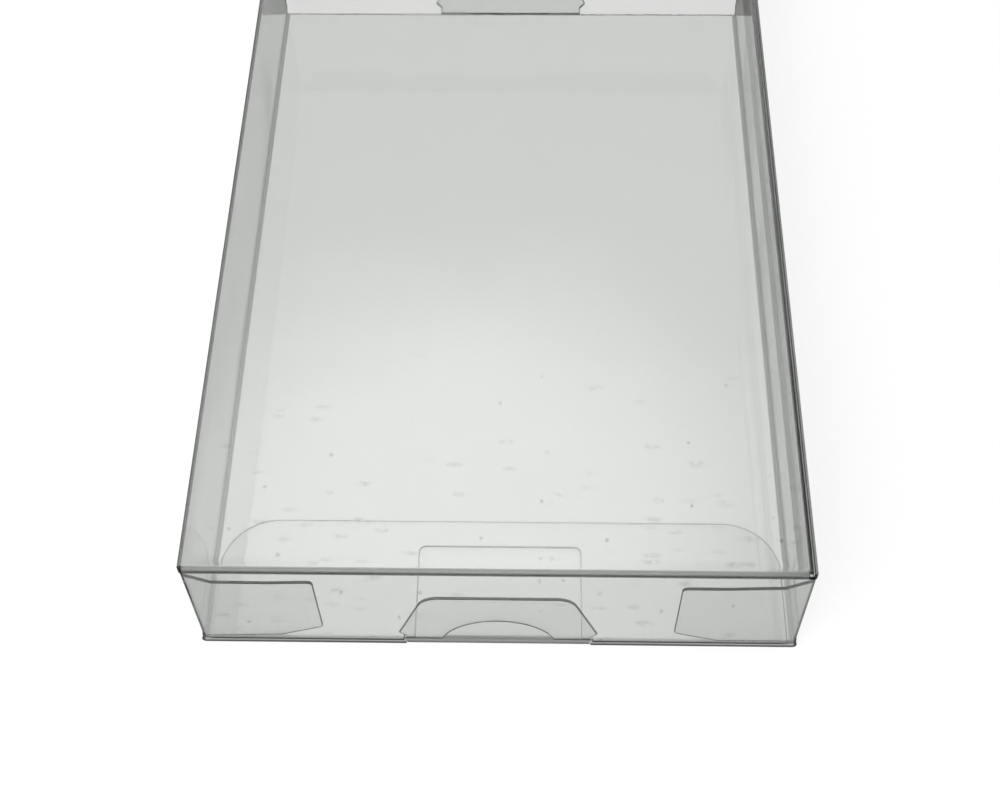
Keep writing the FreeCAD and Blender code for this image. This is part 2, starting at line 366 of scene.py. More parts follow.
class NodeBench:
    """Short ways to add and join nodes in one node tree."""

    # Sockets of a Mix node that mixes colours
    MIX_SHARE, MIX_FIRST, MIX_SECOND, MIX_RESULT = 0, 6, 7, 2

    def __init__(self, tree: bpy.types.NodeTree) -> None:
        """Starts with an empty tree."""
        self.tree = tree
        tree.nodes.clear()

    def add(self, kind: str, values: dict | None = None, **settings: object) -> bpy.types.Node:
        """Adds a node.

        Args:
            kind: Blender's name of the node type.
            values: value or output socket for each input, by the input's name or number.
            settings: properties of the node itself.

        Returns:
            The new node.
        """
        node = self.tree.nodes.new(kind)
        for name, value in settings.items():
            setattr(node, name, value)
        for name, value in (values or {}).items():
            if isinstance(value, bpy.types.NodeSocket):
                self.tree.links.new(value, node.inputs[name])
            else:
                node.inputs[name].default_value = value
        return node

    def math(self, operation: str, *values: object) -> bpy.types.NodeSocket:
        """Adds a Math node and gives its output."""
        node = self.add("ShaderNodeMath", dict(enumerate(values)), operation=operation)
        return node.outputs[0]

    def ramp(self, value: bpy.types.NodeSocket, low: float, high: float) -> bpy.types.NodeSocket:
        """Turns the range from low to high into a smooth 0 to 1."""
        limits = {"Value": value, "From Min": low, "From Max": high}
        return self.add("ShaderNodeMapRange", limits, interpolation_type="SMOOTHSTEP").outputs["Result"]

    def mix(self, share: bpy.types.NodeSocket, first: object, second: object) -> bpy.types.NodeSocket:
        """Mixes two colours, each a value or an output socket."""
        values = {self.MIX_SHARE: share, self.MIX_FIRST: first, self.MIX_SECOND: second}
        return self.add("ShaderNodeMix", values, data_type="RGBA").outputs[self.MIX_RESULT]

    def noise(self, where: bpy.types.NodeSocket, scale: float, detail: float = 2.0) -> bpy.types.NodeSocket:
        """Adds a noise texture and gives its value."""
        node = self.add("ShaderNodeTexNoise", {"Vector": where, "Scale": scale, "Detail": detail})
        return node.outputs[0]

    def stretched(self, where: bpy.types.NodeSocket, scale: Triple) -> bpy.types.NodeSocket:
        """Coordinates scaled by a different amount along each axis."""
        return self.add("ShaderNodeMapping", {"Vector": where, "Scale": scale}).outputs[0]

    def spots(
        self, where: bpy.types.NodeSocket, density: Triple, size: Point, share: float
    ) -> bpy.types.NodeSocket:
        """Scattered soft spots, longer one way than another if the densities differ.

        Args:
            where: coordinates in metres.
            density: cells to a metre along each axis, with one spot in each.
            size: distances from a spot's middle, in cells, at which it starts to fade and is gone.
            share: share of the cells whose spot shows.

        Returns:
            1 within a spot and 0 outside.
        """
        place = {"Vector": self.stretched(where, density), "Scale": 1.0}
        cells = self.add("ShaderNodeTexVoronoi", place).outputs
        draw = self.add("ShaderNodeSeparateColor", {0: cells["Color"]}).outputs[0]
        spot = self.math("SUBTRACT", 1.0, self.ramp(cells["Distance"], *size))
        return self.math("MULTIPLY", spot, self.math("LESS_THAN", draw, share))


class GroupMaker:
    """Builds a shader node group with named inputs and outputs."""

    def __init__(self, name: str, inputs: dict[str, float | None], outputs: list[str]) -> None:
        """Makes the group's sockets.

        Args:
            name: the group's name.
            inputs: start value of each input, or None for a vector.
            outputs: names of the value outputs.
        """
        self.tree = bpy.data.node_groups.new(name, "ShaderNodeTree")
        self.bench = NodeBench(self.tree)
        for label, start in inputs.items():
            kind = "NodeSocketVector" if start is None else "NodeSocketFloat"
            socket = self.tree.interface.new_socket(label, in_out="INPUT", socket_type=kind)
            if start is not None:
                socket.default_value = start
        for label in outputs:
            self.tree.interface.new_socket(label, in_out="OUTPUT", socket_type="NodeSocketFloat")
        self.inputs = self.bench.add("NodeGroupInput").outputs

    def close(self, **results: bpy.types.NodeSocket) -> bpy.types.NodeTree:
        """Joins the results to the outputs of the same names and gives the group."""
        self.bench.add("NodeGroupOutput", results)
        return self.tree


@dataclass(frozen=True)
class HandlingMarks:
    """Marks that handling leaves on film: specks, short smears, fine scratches and patchy haze.

    Densities count cells or waves to a metre. A spot's size is as NodeBench.spots takes it, and a range
    is where a texture's value turns from no mark to a full one. handled is where the specks and smears
    thin out along the box.
    """

    name: str = "handling_marks"
    handled: Point = (-0.050, -0.015)
    smear_density: Triple = (180.0, 560.0, 420.0)
    smear_size: Point = (0.08, 0.30)
    smear_share: float = 0.35
    smear_break_density: float = 1500.0
    smear_break_range: Point = (0.35, 0.60)
    speck_density: Triple = (400.0, 400.0, 400.0)
    speck_size: Point = (0.07, 0.14)
    speck_share: float = 0.07
    scratch_density: Triple = (90.0, 6000.0, 6000.0)
    scratch_range: Point = (0.74, 0.78)
    patch_density: float = 55.0
    patch_range: Point = (0.45, 0.65)
    patch_haze: float = 0.35

    def group(self) -> bpy.types.NodeTree:
        """Builds the node group.

        Returns:
            The group. Its Dirt darkens the film and its Haze dulls it.
        """
        maker = GroupMaker(
            self.name,
            {"Coordinates": None, "Specks": 1.0, "Smears": 1.0, "Scratches": 1.0},
            ["Dirt", "Haze"],
        )
        bench, given = maker.bench, maker.inputs
        where = given["Coordinates"]
        along_box = bench.add("ShaderNodeSeparateXYZ", {0: where}).outputs["Y"]
        handled = bench.math("SUBTRACT", 1.0, bench.ramp(along_box, *self.handled))
        smears = bench.spots(where, self.smear_density, self.smear_size, self.smear_share)
        breaks = bench.ramp(bench.noise(where, self.smear_break_density), *self.smear_break_range)
        smears = bench.math("MULTIPLY", smears, breaks)
        smears = bench.math("MULTIPLY", smears, bench.math("MULTIPLY", handled, given["Smears"]))
        specks = bench.spots(where, self.speck_density, self.speck_size, self.speck_share)
        specks = bench.math("MULTIPLY", specks, bench.math("MULTIPLY", handled, given["Specks"]))
        fibres = bench.noise(bench.stretched(where, self.scratch_density), 1.0, 0.0)
        scratches = bench.math("MULTIPLY", bench.ramp(fibres, *self.scratch_range), given["Scratches"])
        patches = bench.ramp(bench.noise(where, self.patch_density), *self.patch_range)
        dirt = bench.math("MAXIMUM", smears, specks)
        haze = bench.math("MAXIMUM", bench.math("MULTIPLY", patches, self.patch_haze), scratches)
        return maker.close(Dirt=dirt, Haze=haze)


@dataclass(frozen=True)
class FilmRipple:
    """Slow unevenness of thin film, with a fine surface grain. Densities count waves to a metre."""

    name: str = "film_ripple"
    slow_density: Triple = (30.0, 45.0, 45.0)
    slow_detail: float = 1.0
    grain_density: float = 700.0

    def group(self) -> bpy.types.NodeTree:
        """Builds the node group.

        Returns:
            The group. Its Height is meant for a Bump node.
        """
        maker = GroupMaker(self.name, {"Coordinates": None, "Grain": 0.05}, ["Height"])
        bench, given = maker.bench, maker.inputs
        where = given["Coordinates"]
        slow = bench.noise(bench.stretched(where, self.slow_density), 1.0, self.slow_detail)
        fine = bench.math("MULTIPLY", bench.noise(where, self.grain_density), given["Grain"])
        return maker.close(Height=bench.math("ADD", slow, fine))


@dataclass(frozen=True)
class FilmFinish:
    """Clear polyester film, as it looks on a panel, a fold or a cut edge.

    tint turns into the grazing tint over grazing_range, a range of Layer Weight's Facing. The film's longer
    slanted path darkens it only a little; the grazing tint goes far beyond that and is painted shade. ripple
    is the height of the bump in metres, and grain the share of it that is fine.
    """

    name: str
    tint: Colour = (0.945, 0.955, 0.942)
    grazing_shade_tint: Colour = (0.30, 0.31, 0.302)
    grazing_range: Point = (0.52, 0.88)
    dirt: Colour = (0.55, 0.56, 0.55)
    reflection: Colour = (1.0, 1.0, 1.0)
    roughness: float = 0.025
    haze_roughness: float = 0.10
    index: float = 1.57
    specks: float = 1.0
    smears: float = 0.4
    scratches: float = 0.6
    ripple: float = 0.00010
    grain: float = 0.02

    def material(self) -> bpy.types.Material:
        """Glass with handling marks in its colour and gloss, painted shade where it is seen edge-on, and the
        film's ripple as bump.

        Returns:
            The new material.
        """
        material = bpy.data.materials.new(self.name)
        material.use_nodes = True
        bench = NodeBench(material.node_tree)
        where = bench.add("ShaderNodeTexCoord").outputs["Object"]
        marks = self.placed(bench, HandlingMarks.name, where)
        # Painted shade: the colour turns to the darker grazing tint as the film is seen more edge-on.
        facing = bench.add("ShaderNodeLayerWeight", {"Blend": 0.5}).outputs["Facing"]
        grazing = bench.ramp(facing, *self.grazing_range)
        film = bench.mix(grazing, (*self.tint, 1.0), (*self.grazing_shade_tint, 1.0))
        colour = bench.mix(marks["Dirt"], film, (*self.dirt, 1.0))
        dulling = {"Value": marks["Haze"], "To Min": self.roughness, "To Max": self.haze_roughness}
        roughness = bench.add("ShaderNodeMapRange", dulling).outputs["Result"]
        height = self.placed(bench, FilmRipple.name, where)["Height"]
        bump = bench.add("ShaderNodeBump", {"Height": height, "Strength": 1.0, "Distance": self.ripple})
        shader = bench.add(
            "ShaderNodeBsdfPrincipled",
            {
                "Base Color": colour,
                "Roughness": roughness,
                "IOR": self.index,
                "Transmission Weight": 1.0,
                "Specular Tint": (*self.reflection, 1.0),
                "Normal": bump.outputs["Normal"],
            },
        )
        bench.add("ShaderNodeOutputMaterial", {"Surface": shader.outputs[0]})
        return material

    def placed(
        self, bench: NodeBench, group: str, where: bpy.types.NodeSocket
    ) -> bpy.types.bpy_prop_collection:
        """Places a node group in the material with this finish's own values.

        Args:
            bench: the material's nodes.
            group: the group's name.
            where: coordinates for the group.

        Returns:
            The outputs of the placed group, by name.
        """
        node = bench.add("ShaderNodeGroup", node_tree=bpy.data.node_groups[group])
        bench.tree.links.new(where, node.inputs["Coordinates"])
        own = {"Specks": self.specks, "Smears": self.smears, "Scratches": self.scratches, "Grain": self.grain}
        for label, value in own.items():
            if label in node.inputs:
                node.inputs[label].default_value = value
        return node.outputs


PANEL_FINISH = FilmFinish("clear_film")
# Painted shade: the dust flaps and lock tabs are the same film as the panels, with a darker tint for the
# shade they lie in.
SMALL_FLAP_SHADE_FINISH = FilmFinish(
    "clear_film_small_flap_painted_shade",
    tint=(0.855, 0.865, 0.853),
    roughness=0.04,
    haze_roughness=0.14,
)
# Painted shade: the folds, the scored bands beside the lower folds, the lock tab's foot in its slot and the
# bottom panel's edge under the lid get a dark tint and a dimmed reflection for the shade in the creases;
# their roughness is real.
FOLD_SHADE_FINISH = FilmFinish(
    "clear_film_fold_painted_shade",
    tint=(0.58, 0.59, 0.58),
    grazing_shade_tint=(0.55, 0.56, 0.55),
    reflection=(0.8, 0.81, 0.8),
    roughness=0.5,
    haze_roughness=0.55,
    specks=0.0,
    smears=0.0,
)
BONDED_FINISH = FilmFinish(
    "clear_film_bonded",
    tint=(0.72, 0.73, 0.72),
    grazing_shade_tint=(0.30, 0.31, 0.31),
    reflection=(0.4, 0.41, 0.41),
    roughness=0.12,
    haze_roughness=0.3,
    specks=0.0,
    smears=0.0,
)
# Partly the cut edge's own dull grey, partly painted shade: the near-black tint and dim reflection stand for
# the dark lines that light bent and trapped at the edge gives.
CUT_GREY_AND_SHADE_FINISH = FilmFinish(
    "clear_film_cut_grey_and_shade",
    tint=(0.10, 0.105, 0.10),
    grazing_shade_tint=(0.10, 0.105, 0.10),
    reflection=(0.25, 0.26, 0.25),
    roughness=0.2,
    haze_roughness=0.3,
    specks=0.0,
    smears=0.0,
)
# Partly the cut edge's own grey, partly painted shade: the grey tint stands for the line and shade where a
# cut edge lies on other film.
LAID_GREY_AND_SHADE_FINISH = FilmFinish(
    "clear_film_laid_cut_grey_and_shade",
    tint=(0.80, 0.81, 0.80),
    grazing_shade_tint=(0.80, 0.81, 0.80),
    roughness=0.4,
    haze_roughness=0.45,
    specks=0.0,
    smears=0.0,
)
GLUE_FINISH = FilmFinish(
    "set_glue",
    tint=(0.72, 0.74, 0.72),
    grazing_shade_tint=(0.40, 0.41, 0.41),
    roughness=0.3,
    haze_roughness=0.4,
    specks=0.0,
)
FILM_FINISHES = {
    Region.PANEL: PANEL_FINISH,
    Region.SMALL_FLAP: SMALL_FLAP_SHADE_FINISH,
    Region.FOLD: FOLD_SHADE_FINISH,
    Region.BONDED: BONDED_FINISH,
    Region.CUT_EDGE: CUT_GREY_AND_SHADE_FINISH,
    Region.LAID_EDGE: LAID_GREY_AND_SHADE_FINISH,
}


# The box's pieces


@dataclass(frozen=True)
class BoxSizes:
    """Sizes of the folded box, the same as those of its solids."""

    width: float = 73.0
    depth: float = 18.8
    length: float = 112.0
    sheet: float = 0.4
    fold_inner_radius: float = 0.15
    glue_flap_width: float = 8.0
    glue_flap_taper: float = 3.0
    glue_line_width: float = 3.3
    glue_line_thickness: float = 0.1
    glue_line_margin: float = 0.2
    wall_edge_drop: float = 0.45
    lid_side_gap: float = 0.5
    tuck_depth: float = 16.7
    tuck_side_gap: float = 1.1
    tuck_corner_radius: float = 7.2
    tuck_gap: float = 0.15
    window_half_width: float = 10.2
    window_depth: float = 13.0
    window_corner_radius: float = 0.8
    thumb_radius: float = 7.1
    thumb_height: float = 6.3
    slot_clearance: float = 0.3
    slot_top_clearance: float = 0.1
    slot_inner_clearance: float = 0.15
    slot_swing_clearance: float = 0.9
    tab_foot_half_width: float = 11.2
    tab_barb_reach: float = 0.9
    tab_barb_height: float = 1.1
    tab_top_half_width: float = 8.8
    tab_height: float = 11.75
    tab_corner_radius: float = 2.6
    tab_gap: float = 0.1
    tab_relief: float = 0.1
    tab_slant: float = 45.0
    dust_reach: float = 15.1
    dust_flare: float = 0.1
    dust_crease_drop: float = 1.8
    dust_top_drop: float = 4.0
    dust_shoulder: float = 3.4
    dust_shoulder_rise: float = 0.4
    dust_nose: float = 5.2
    dust_nose_rise: float = 2.0
    dust_corner_radius: float = 0.7
    dust_floor_gap: float = 0.15
    dust_gap: float = 0.1
    dust_relief: float = 0.1
    left_dust_lean: float = 1.5
    crease_clearance: float = 0.05
    open_end_gap: float = 0.3
    lid_raise: float = 35.0
    tuck_bend: float = 35.0
    dust_splay: float = 20.0

    @property
    def half_width(self) -> float:
        """Half the outside width."""
        return self.width / 2

    @property
    def near(self) -> float:
        """Outer face of the closed end."""
        return -self.length / 2

    @property
    def far(self) -> float:
        """Outer face of the open end, when its lid is closed."""
        return self.length / 2

    @property
    def fold_radius(self) -> float:
        """Outside radius of a finished fold."""
        return self.fold_inner_radius + self.sheet

    @property
    def middle_radius(self) -> float:
        """Radius of a fold at the film's middle."""
        return self.fold_inner_radius + self.sheet / 2

    @property
    def quarter_arc(self) -> float:
        """Flat length of film in a square fold."""
        return QUARTER_TURN * self.middle_radius

    @property
    def fold_y(self) -> float:
        """Where the top and bottom panels start to fold at the closed end."""
        return self.near + self.fold_radius

    @property
    def seam_x(self) -> float:
        """Outer face of the glue flap."""
        return self.half_width - self.sheet - self.glue_line_thickness

    @property
    def tuck_z(self) -> float:
        """Underside of a closed tuck flap."""
        return self.sheet + self.tuck_gap

    @property
    def tuck_half_width(self) -> float:
        """Half the width of a tuck flap."""
        return self.half_width - self.tuck_side_gap

    @property
    def lid_half_width(self) -> float:
        """Half the width of a lid."""
        return self.half_width - self.lid_side_gap

    @property
    def slot_half_width(self) -> float:
        """Half the width of the lock tab's slot."""
        return self.tab_foot_half_width + self.slot_clearance

    @property
    def dust_low(self) -> float:
        """Height of a dust flap's lower edge."""
        return self.tuck_z + self.sheet + self.dust_floor_gap

    @property
    def dust_high(self) -> float:
        """Height of the upper end of a dust flap's crease."""
        return self.depth - self.dust_crease_drop

    @property
    def wall_near(self) -> float:
        """Where the side walls end at the closed end."""
        return self.near + self.sheet + self.dust_gap + self.fold_radius

    @property
    def slant(self) -> float:
        """Angle past upright, in radians, at which the locked tab goes back through the slot."""
        return math.radians(self.tab_slant)

    @property
    def slant_run(self) -> float:
        """Straight length of the locked tab's foot between its two folds."""
        set_back = self.sheet + self.tab_gap - 2 * self.middle_radius * (1 - math.cos(self.slant))
        return set_back / math.sin(self.slant)

    @property
    def upright_z(self) -> float:
        """Height from which the locked tab stands upright."""
        rise = 2 * self.middle_radius * math.sin(self.slant)
        return self.fold_radius + rise + self.slant_run * math.cos(self.slant)

    @property
    def slot_rise(self) -> float:
        """Height of the slot's upper edge in a lid."""
        return self.upright_z + self.slot_top_clearance

    @property
    def near_slot_reach(self) -> float:
        """Depth of the slot in the closed tuck flap."""
        return 2 * self.sheet + self.tab_gap + self.slot_inner_clearance

    @property
    def far_slot_reach(self) -> float:
        """Depth of the slot in the open end's tuck flap."""
        return 2 * self.sheet + self.open_end_gap + self.slot_swing_clearance

    @property
    def root(self) -> float:
        """Radius of a hinged flap's half-round root."""
        return self.sheet / 2

    @property
    def root_gap(self) -> float:
        """From the axis of a live crease to the panel that carries the flap."""
        return self.root + self.crease_clearance

    @property
    def standing_y(self) -> float:
        """Crease line of what stands behind the open end's lid."""
        return self.far - self.sheet - self.open_end_gap - self.root

    @property
    def wall_far(self) -> float:
        """Where the side walls end at the open end."""
        return self.standing_y - self.root_gap

    @property
    def top_far(self) -> float:
        """Where the top panel ends at the open end."""
        return self.far - self.root - self.root_gap

    def thumb_arc(self, rise: float, steps: int = 28) -> list[Point]:
        """Half-moon notch above a lid's slot.

        Args:
            rise: height at which the half-moon starts and ends.
            steps: number of straight steps along it.

        Returns:
            Its points as (x, height), from its left end to its right end.
        """
        centre = self.thumb_height - self.thumb_radius
        low = math.asin((rise - centre) / self.thumb_radius)
        angles = [math.pi - low - (math.pi - 2 * low) * step / steps for step in range(steps + 1)]
        return [(self.thumb_radius * math.cos(a), centre + self.thumb_radius * math.sin(a)) for a in angles]

    def tuck_corners(self, start: float) -> list[Point]:
        """Outline of a tuck flap.

        Args:
            start: reach at which the outline starts.

        Returns:
            Its points as (x, reach from the lid's outer face). The first two lie at the start.
        """
        side, end, free = self.tuck_half_width, self.tuck_depth, self.tuck_corner_radius
        corners = [(-side, start, 0.0), (side, start, 0.0), (side, end, free), (-side, end, free)]
        return rounded(corners, steps=16)

    def window_corners(self, start: float) -> list[Point]:
        """Outline of the window in a tuck flap.

        Args:
            start: reach at which the window meets the slot.

        Returns:
            Its points as (x, reach from the lid's outer face), from its left end to its right end.
        """
        pane, end, radius = self.window_half_width, self.window_depth, self.window_corner_radius
        return rounded([(-pane, start, 0.0), (-pane, end, radius), (pane, end, radius), (pane, start, 0.0)])

    def tab_corners(self, start: float) -> list[Point]:
        """Outline of a lock tab.

        Args:
            start: reach at which the outline starts.

        Returns:
            Its points as (x, reach from the bottom panel's outer face), from its right foot to its left.
        """
        right = [
            (self.tab_foot_half_width, start, 0.0),
            (self.tab_foot_half_width, self.slot_rise, 0.0),
            (self.tab_foot_half_width + self.tab_barb_reach, self.slot_rise + self.tab_barb_height, 0.0),
            (self.tab_top_half_width, self.tab_height, self.tab_corner_radius),
        ]
        return rounded(right + [(-x, y, radius) for x, y, radius in reversed(right)], steps=10)

    def dust_corners(self, start: float) -> list[Point]:
        """Outline of a dust flap.

        Args:
            start: reach at which the outline starts.

        Returns:
            Its points as (height in the box, reach from its wall's outer face), from the lower end up.
        """
        top, radius = self.depth - self.dust_top_drop, self.dust_corner_radius
        inner = self.dust_reach - self.dust_nose
        return rounded(
            [
                (self.dust_low, start, 0.0),
                (self.dust_low, inner, radius),
                (self.dust_low + self.dust_nose_rise, self.dust_reach + self.dust_flare, radius),
                (top, self.dust_reach, radius),
                (top, inner, radius),
                (top + self.dust_shoulder_rise, self.dust_shoulder, radius),
                (self.dust_high, start, 0.0),
            ]
        )


@dataclass
class BoxPart:
    """A sub-assembly of the box, whose pieces stand in for its solids."""

    sizes: BoxSizes

    def dress(self, piece: bpy.types.Object, finishes: list[bpy.types.Material]) -> None:
        """Gives a piece its finishes, in the order of its regions."""
        for finish in finishes:
            piece.data.materials.append(finish)


@dataclass(frozen=True)
class EndFlap:
    """A flap of the closed end: the panel that carries it, its crease line, and its folds from there."""

    carrier: float
    start: float
    strip: FoldedStrip


@dataclass
class Sleeve(BoxPart):
    """The folded sheet: four panels, the glue flap and the closed end, cut as one flat blank.

    Flat u counts across the sheet from the middle of the bottom panel, flat v along the box as y does.
    The panels bow slightly: the top sags, the left wall bows in and the bottom lifts, in slow waves
    whose lengths are given across and along.
    """

    fold_steps: int = 10
    scored_band: float = 0.25
    top_sag: float = 0.30
    wall_bow: float = 0.15
    floor_lift: float = 0.08
    bow_onset: float = 2.5
    wave_share: float = 0.25
    wave_lengths: Point = (14.0, 9.0)
    ripple_lengths: Point = (6.0, 7.0)
    clear_of_tuck: float = 4.0
    tuck_fade: float = 15.0

    def __post_init__(self) -> None:
        """Works out the flat places of the sheet's folds."""
        s = self.sizes
        arc, radius = s.quarter_arc, s.middle_radius
        self.bottom_half = s.half_width - s.fold_radius
        self.right_strip = FoldedStrip((Fold(self.bottom_half, QUARTER_TURN, radius),))
        self.wall_start = self.bottom_half + arc
        self.left_wall_end = self.wall_start + s.depth - 2 * s.fold_radius
        self.top_start = self.left_wall_end + arc
        self.top_end = self.top_start + s.seam_x + s.half_width - 2 * s.fold_radius
        self.flap_start = self.top_end + arc
        self.flap_end = self.flap_start + s.glue_flap_width - s.fold_radius
        self.bond_start = self.flap_end - s.glue_line_width - 2 * s.glue_line_margin
        self.right_wall_end = self.wall_start + s.depth - s.wall_edge_drop - s.fold_radius
        starts = (self.bottom_half, self.left_wall_end, self.top_end)
        self.left_strip = FoldedStrip(tuple(Fold(start, QUARTER_TURN, radius) for start in starts))
        self.top_middle = -(self.top_start + s.half_width - s.fold_radius)
        self.lid_height = s.depth - s.fold_radius - (s.tuck_z + s.fold_radius)
        self.tuck_start = arc + self.lid_height + arc
        self.dust_span = tuple(self.wall_start + z - s.fold_radius for z in (s.dust_low, s.dust_high))
        dust_middle = sum(self.dust_span) / 2
        lean = QUARTER_TURN + math.radians(s.left_dust_lean)
        tab_fold = Fold(0.0, QUARTER_TURN + s.slant, radius)
        tab_folds = (tab_fold, Fold(tab_fold.end + s.slant_run, -s.slant, radius))
        lid_folds = (Fold(0.0, QUARTER_TURN, radius), Fold(arc + self.lid_height, QUARTER_TURN, radius))
        self.lid = EndFlap(self.top_middle, s.fold_y, FoldedStrip(lid_folds))
        self.tab = EndFlap(0.0, s.fold_y, FoldedStrip(tab_folds))
        self.right_dust = EndFlap(dust_middle, s.wall_near, FoldedStrip((Fold(0.0, QUARTER_TURN, radius),)))
        self.left_dust = EndFlap(-dust_middle, s.wall_near, FoldedStrip((Fold(0.0, lean, radius),)))
        self.lid_top = self.lid.start - arc
        self.lid_foot = self.lid_top - self.lid_height
        self.tuck_crease = self.lid.start - self.tuck_start

    def section(self, u: float) -> tuple[Vector, Vector, Vector]:
        """Cross-section of the tube.

        Args:
            u: flat distance from the middle of the bottom panel.

        Returns:
            The place there, the direction of growing u, and the inward normal.
        """
        side = 1.0 if u >= 0 else -1.0
        strip = self.right_strip if u >= 0 else self.left_strip
        forward, up, heading = strip.at(abs(u))
        place = Vector((side * forward, 0.0, self.sizes.root + up))
        along = Vector((math.cos(heading), 0.0, side * math.sin(heading)))
        normal = Vector((-side * math.sin(heading), 0.0, math.cos(heading)))
        return place, along, normal

    def flap_at(self, point: Point) -> EndFlap | None:
        """The closed end's flap that a flat point lies on.

        Args:
            point: flat (u, v).

        Returns:
            The flap, or None on the panels and the glue flap.
        """
        u, v = point
        s = self.sizes
        low, high = self.dust_span
        if abs(u) < self.wall_start + ON_LINE:
            on_tab = abs(u) < s.tab_foot_half_width + ON_LINE or v < s.near - ON_LINE
            return self.tab if on_tab and v < s.fold_y - ON_LINE else None
        if low - ON_LINE < abs(u) < high + ON_LINE and v < s.wall_near - ON_LINE:
            return self.right_dust if u > 0 else self.left_dust
        return self.lid if u < -self.left_wall_end and v < s.fold_y - ON_LINE else None

    def place(self, point: Point, offset: Point, height: float) -> Vector:
        """Folded place of a flat point.

        Args:
            point: flat (u, v) that says which panel or flap it is on.
            offset: small flat shift from that point.
            height: distance from the film's middle towards the inside of the box.

        Returns:
            The point in space, in millimetres.
        """
        u, v = point[0] + offset[0], point[1] + offset[1]
        flap = self.flap_at(point)
        if flap is None:
            place, _, normal = self.section(u)
            place = place + normal * (height + self.bow(point))
            return Vector((place.x, v, place.z))
        origin, along, normal = self.section(flap.carrier)
        forward, up, heading = flap.strip.at(flap.start - v)
        forward -= height * math.sin(heading)
        up += height * math.cos(heading)
        place = origin + along * (u - flap.carrier) + normal * up
        return Vector((place.x, flap.start - forward, place.z))

    def bow(self, point: Point) -> float:
        """How far a panel bows inwards.

        Args:
            point: flat (u, v).

        Returns:
            The bow in millimetres, which is nothing at the folds and ends.
        """
        u, v = point
        s = self.sizes
        ends = max(0.0, (v - s.wall_near) * (s.wall_far - v)) / (s.length / 2) ** 2
        lengthwise = min(1.0, self.bow_onset * ends)

        def crown(first: float, last: float) -> float:
            """Share of the bow between two folds."""
            share = (u - first) / (last - first)
            return math.sin(math.pi * share) if 0 < share < 1 else 0.0

        top = crown(-self.top_end, -self.top_start)
        left = crown(-self.left_wall_end, -self.wall_start)
        floor = crown(-self.bottom_half, self.bottom_half)
        wave_across, wave_along = self.wave_lengths
        wave = 1.0 - self.wave_share + self.wave_share * math.sin(v / wave_along + u / wave_across)
        past_tuck = (v - s.near - s.tuck_depth - self.clear_of_tuck) / self.tuck_fade
        ripple_across, ripple_along = self.ripple_lengths
        ripple = 0.5 + 0.5 * math.sin(v / ripple_along) * math.sin(u / ripple_across)
        lift = floor * self.floor_lift * ripple * min(1.0, max(0.0, past_tuck))
        return lengthwise * (wave * (top * self.top_sag + left * self.wall_bow) + lift)

    def region(self, point: Point) -> Region:
        """Tells the finishes of the sheet's faces apart.

        Args:
            point: flat (u, v).

        Returns:
            FOLD, whose finish paints shade, on the folds, on the scored bands beside the lower ones and on
            the bottom panel's edge under the lid, BONDED on the glue flap's glued strip, and else the flat
            panel or flap.
        """
        s = self.sizes
        flap = self.flap_at(point)
        if flap is None:
            if point[0] < -self.bond_start:
                return Region.BONDED
            across = abs(point[0])
            strip = self.right_strip if point[0] >= 0 else self.left_strip
            # The strip under the lid and the scored bands take the fold finish for its painted shade.
            shade_band_under_lid = across < self.bottom_half and point[1] < s.wall_near
            scored = self.bottom_half - self.scored_band < across < self.wall_start + self.scored_band
            return Region.FOLD if shade_band_under_lid or scored or strip.bends(across) else Region.PANEL
        run = flap.start - point[1]
        # The lock tab's foot in its slot, its straight part too, takes the fold finish for its painted shade.
        in_slot = flap is self.tab and run < flap.strip.folds[-1].end
        if in_slot or flap.strip.bends(run):
            return Region.FOLD
        # The dust flaps and lock tab take the small flaps' finish, whose darker tint is painted shade.
        return Region.PANEL if flap is self.lid else Region.SMALL_FLAP

    def edge_region(self, point: Point) -> Region:
        """Tells the cut edges that lie against other film from the rest.

        Args:
            point: flat (u, v) on a cut edge.

        Returns:
            LAID_EDGE round the tuck flap and along the right wall's top, and else CUT_EDGE.
        """
        on_tuck = self.flap_at(point) is self.lid and self.lid.start - point[1] > self.tuck_start
        on_seam = abs(point[0] - self.right_wall_end) < ON_LINE
        return Region.LAID_EDGE if on_tuck or on_seam else Region.CUT_EDGE

    def rounding(self, first: Point, last: Point) -> float:
        """How far a cut edge is rounded back.

        Args:
            first: flat start of the edge.
            last: flat end of the edge.

        Returns:
            The usual rounding, or 0 along a fold's end and in the slits beside the lock tab.
        """
        foot = self.sizes.tab_foot_half_width
        square = (self.wall_start, self.flap_start, foot, foot + self.sizes.tab_relief)
        on_square = any(abs(abs(u) - end) < ON_LINE for end in square for u in (first[0], last[0]))
        lengthwise = abs(first[0] - last[0]) < ON_LINE
        return 0.0 if on_square and lengthwise else CUT_ROUNDING

    def tube_outlines(self) -> list[list[Point]]:
        """Panels and glue flap, with the plain strips at their ends.

        Returns:
            One outline for the tube and one for each strip.
        """
        s = self.sizes
        low, high = self.dust_span[0] - s.dust_relief, self.dust_span[1] + s.dust_relief
        tube = [
            (-self.flap_start, s.wall_near),
            (self.right_wall_end, s.wall_near),
            (self.right_wall_end, s.wall_far),
            (-self.flap_start, s.wall_far),
            (-self.flap_end, s.wall_far - s.glue_flap_taper),
            (-self.flap_end, s.wall_near + s.glue_flap_taper),
        ]
        slit = s.tab_foot_half_width + s.tab_relief
        strips = [
            (-low, low, s.fold_y, s.wall_near),
            (-self.flap_start, -high, s.fold_y, s.wall_near),
            (high, self.right_wall_end, s.fold_y, s.wall_near),
            (-self.wall_start, -slit, s.near, s.fold_y),
            (slit, self.wall_start, s.near, s.fold_y),
            (-self.top_end, -self.top_start, s.wall_far, s.top_far),
        ]
        return [tube] + [[(a, c), (b, c), (b, d), (a, d)] for a, b, c, d in strips]

